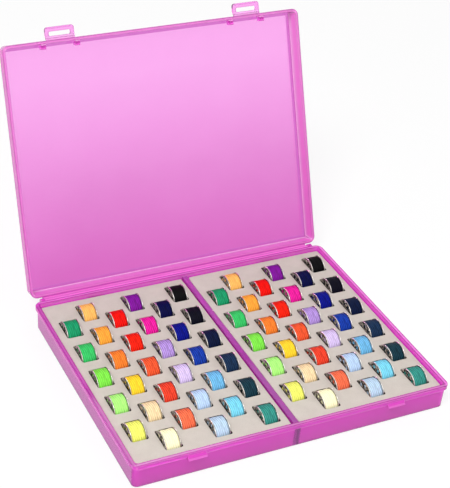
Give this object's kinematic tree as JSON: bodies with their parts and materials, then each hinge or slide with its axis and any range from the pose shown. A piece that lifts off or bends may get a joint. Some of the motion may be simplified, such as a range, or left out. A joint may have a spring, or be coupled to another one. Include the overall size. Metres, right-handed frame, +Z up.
{
  "type": "bobbin storage case",
  "caption": "Flat hinged case of translucent plastic with a middle divider, two slotted foam inserts and thread-wound metal bobbins standing in staggered columns.",
  "frame": {"origin": "middle of the base's underside, on the surface that the case stands on", "axes": "+Z up, +Y towards the hinge at the back, +X towards the right-hand side seen from the front"},
  "size_m": [0.25, 0.2862, 0.2089],
  "materials": {
    "case_plastic": "gloss",
    "foam": "matte",
    "bobbin_metal": "satin",
    "thread_left_1_back": "satin",
    "thread_left_1_middle": "satin",
    "thread_left_1_front": "satin",
    "thread_left_2_back": "satin",
    "thread_left_2_middle": "satin",
    "thread_left_2_front": "satin",
    "thread_left_3_back": "satin",
    "thread_left_3_middle": "satin",
    "thread_left_3_front": "satin",
    "thread_left_4_back": "satin",
    "thread_left_4_middle": "satin",
    "thread_left_4_front": "satin",
    "thread_left_5_back": "satin",
    "thread_left_5_middle": "satin",
    "thread_left_5_front": "satin",
    "thread_left_6_back": "satin",
    "thread_left_6_middle": "satin",
    "thread_left_6_front": "satin",
    "thread_right_1_back": "satin",
    "thread_right_1_middle": "satin",
    "thread_right_1_front": "satin",
    "thread_right_2_back": "satin",
    "thread_right_2_middle": "satin",
    "thread_right_2_front": "satin",
    "thread_right_3_back": "satin",
    "thread_right_3_middle": "satin",
    "thread_right_3_front": "satin",
    "thread_right_4_back": "satin",
    "thread_right_4_middle": "satin",
    "thread_right_4_front": "satin",
    "thread_right_5_back": "satin",
    "thread_right_5_middle": "satin",
    "thread_right_5_front": "satin",
    "thread_right_6_back": "satin",
    "thread_right_6_middle": "satin",
    "thread_right_6_front": "satin"
  },
  "bodies": {
    "base": {"base_tray": "case_plastic"},
    "lid": {"lid": "case_plastic"},
    "latch_left": {"latch_left": "case_plastic"},
    "latch_right": {"latch_right": "case_plastic"},
    "insert_left": {"foam_insert_left": "foam"},
    "insert_right": {"foam_insert_right": "foam"},
    "column_left_1": {"spools_left_1": "bobbin_metal", "thread_left_1_back": "thread_left_1_back", "thread_left_1_middle": "thread_left_1_middle", "thread_left_1_front": "thread_left_1_front"},
    "column_left_2": {"spools_left_2": "bobbin_metal", "thread_left_2_back": "thread_left_2_back", "thread_left_2_middle": "thread_left_2_middle", "thread_left_2_front": "thread_left_2_front"},
    "column_left_3": {"spools_left_3": "bobbin_metal", "thread_left_3_back": "thread_left_3_back", "thread_left_3_middle": "thread_left_3_middle", "thread_left_3_front": "thread_left_3_front"},
    "column_left_4": {"spools_left_4": "bobbin_metal", "thread_left_4_back": "thread_left_4_back", "thread_left_4_middle": "thread_left_4_middle", "thread_left_4_front": "thread_left_4_front"},
    "column_left_5": {"spools_left_5": "bobbin_metal", "thread_left_5_back": "thread_left_5_back", "thread_left_5_middle": "thread_left_5_middle", "thread_left_5_front": "thread_left_5_front"},
    "column_left_6": {"spools_left_6": "bobbin_metal", "thread_left_6_back": "thread_left_6_back", "thread_left_6_middle": "thread_left_6_middle", "thread_left_6_front": "thread_left_6_front"},
    "column_right_1": {"spools_right_1": "bobbin_metal", "thread_right_1_back": "thread_right_1_back", "thread_right_1_middle": "thread_right_1_middle", "thread_right_1_front": "thread_right_1_front"},
    "column_right_2": {"spools_right_2": "bobbin_metal", "thread_right_2_back": "thread_right_2_back", "thread_right_2_middle": "thread_right_2_middle", "thread_right_2_front": "thread_right_2_front"},
    "column_right_3": {"spools_right_3": "bobbin_metal", "thread_right_3_back": "thread_right_3_back", "thread_right_3_middle": "thread_right_3_middle", "thread_right_3_front": "thread_right_3_front"},
    "column_right_4": {"spools_right_4": "bobbin_metal", "thread_right_4_back": "thread_right_4_back", "thread_right_4_middle": "thread_right_4_middle", "thread_right_4_front": "thread_right_4_front"},
    "column_right_5": {"spools_right_5": "bobbin_metal", "thread_right_5_back": "thread_right_5_back", "thread_right_5_middle": "thread_right_5_middle", "thread_right_5_front": "thread_right_5_front"},
    "column_right_6": {"spools_right_6": "bobbin_metal", "thread_right_6_back": "thread_right_6_back", "thread_right_6_middle": "thread_right_6_middle", "thread_right_6_front": "thread_right_6_front"}
  },
  "joints": [
    {"name": "lid_hinge", "type": "hinge", "parent": "base", "child": "lid", "pos_m": [0, 0.1, 0.01785], "axis": [-1, 0, 0], "range_deg": [-111.55, 0]},
    {"name": "latch_left_hinge", "type": "hinge", "parent": "lid", "child": "latch_left", "pos_m": [-0.07825, 0.17621, 0.20074], "axis": [-1, 0, 0], "range_deg": [-90, 60]},
    {"name": "latch_right_hinge", "type": "hinge", "parent": "lid", "child": "latch_right", "pos_m": [0.07825, 0.17621, 0.20074], "axis": [-1, 0, 0], "range_deg": [-90, 60]},
    {"name": "insert_left_lift", "type": "slide", "parent": "base", "child": "insert_left", "axis": [0, 0, 1], "range_m": [0, 0.03]},
    {"name": "insert_right_lift", "type": "slide", "parent": "base", "child": "insert_right", "axis": [0, 0, 1], "range_m": [0, 0.03]},
    {"name": "column_left_1_lift", "type": "slide", "parent": "insert_left", "child": "column_left_1", "axis": [0, 0, 1], "range_m": [0, 0.025]},
    {"name": "column_left_2_lift", "type": "slide", "parent": "insert_left", "child": "column_left_2", "axis": [0, 0, 1], "range_m": [0, 0.025]},
    {"name": "column_left_3_lift", "type": "slide", "parent": "insert_left", "child": "column_left_3", "axis": [0, 0, 1], "range_m": [0, 0.025]},
    {"name": "column_left_4_lift", "type": "slide", "parent": "insert_left", "child": "column_left_4", "axis": [0, 0, 1], "range_m": [0, 0.025]},
    {"name": "column_left_5_lift", "type": "slide", "parent": "insert_left", "child": "column_left_5", "axis": [0, 0, 1], "range_m": [0, 0.025]},
    {"name": "column_left_6_lift", "type": "slide", "parent": "insert_left", "child": "column_left_6", "axis": [0, 0, 1], "range_m": [0, 0.025]},
    {"name": "column_right_1_lift", "type": "slide", "parent": "insert_right", "child": "column_right_1", "axis": [0, 0, 1], "range_m": [0, 0.025]},
    {"name": "column_right_2_lift", "type": "slide", "parent": "insert_right", "child": "column_right_2", "axis": [0, 0, 1], "range_m": [0, 0.025]},
    {"name": "column_right_3_lift", "type": "slide", "parent": "insert_right", "child": "column_right_3", "axis": [0, 0, 1], "range_m": [0, 0.025]},
    {"name": "column_right_4_lift", "type": "slide", "parent": "insert_right", "child": "column_right_4", "axis": [0, 0, 1], "range_m": [0, 0.025]},
    {"name": "column_right_5_lift", "type": "slide", "parent": "insert_right", "child": "column_right_5", "axis": [0, 0, 1], "range_m": [0, 0.025]},
    {"name": "column_right_6_lift", "type": "slide", "parent": "insert_right", "child": "column_right_6", "axis": [0, 0, 1], "range_m": [0, 0.025]}
  ]
}
